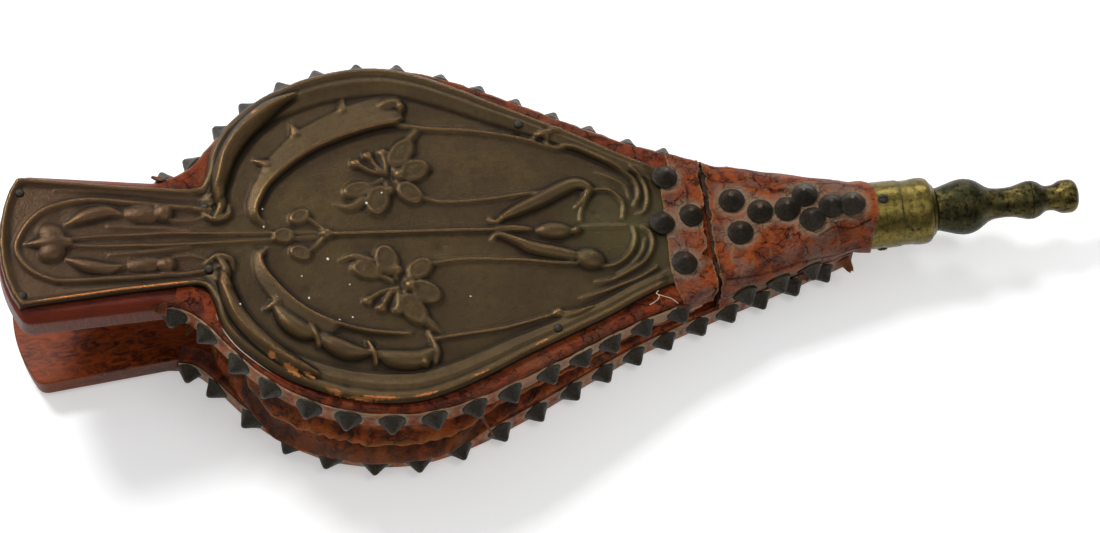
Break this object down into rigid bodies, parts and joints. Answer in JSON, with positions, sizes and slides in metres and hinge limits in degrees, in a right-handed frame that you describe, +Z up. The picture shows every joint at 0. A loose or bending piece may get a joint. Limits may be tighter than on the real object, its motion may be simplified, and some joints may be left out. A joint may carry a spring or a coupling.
{
  "type": "hand bellows",
  "caption": "Hand-held hearth bellows with an embossed copper facing, studded leather edges, a folding leather gusset and a turned brass nozzle.",
  "frame": {"origin": "on the underside of the bottom board, on the centre line, 19 mm behind the leather hinge line", "axes": "+X from the handles to the nozzle, +Z up from the bottom board to the copper facing, Y across the boards"},
  "size_m": [0.5118, 0.2008, 0.0836],
  "materials": {
    "board_wood": "dark stained, polished and worn",
    "facing_copper": "embossed copper sheet with a dark brown patina",
    "leather": "dry red-brown leather, cracked and rubbed",
    "gusset": "dry folded leather",
    "stud_iron": "dull dark pointed heads",
    "brass": "tarnished",
    "nozzle_brass": "heavily tarnished, green-black"
  },
  "bodies": {
    "base": {"bottom_board": "board_wood", "nose_block": "board_wood", "nose_leather": "leather", "bottom_edge_band": "leather", "gusset_leather": "gusset", "bottom_edge_studs": "stud_iron", "nose_top_studs": "stud_iron", "nose_side_studs": "stud_iron", "ferrule": "brass", "ferrule_screws": "stud_iron", "nozzle": "nozzle_brass", "valve_batten": "board_wood", "valve_tacks": "stud_iron"},
    "top": {"top_board": "board_wood", "copper_facing": "facing_copper", "facing_pins": "facing_copper", "hinge_leather": "leather", "top_edge_band": "leather", "top_edge_studs": "stud_iron", "hinge_studs": "stud_iron"},
    "valve": {"valve_flap": "leather", "valve_clapper": "board_wood"}
  },
  "joints": [
    {"name": "bellows_hinge", "type": "hinge", "parent": "base", "child": "top", "pos_m": [0.0191, 0, 0.035], "axis": [0, 1, 0], "range_deg": [-6.5, 14], "deforming": ["gusset_leather"]},
    {"name": "inlet_valve", "type": "hinge", "parent": "base", "child": "valve", "pos_m": [-0.1057, 0, 0.0146], "axis": [0, 1, 0], "range_deg": [0, 7]}
  ]
}
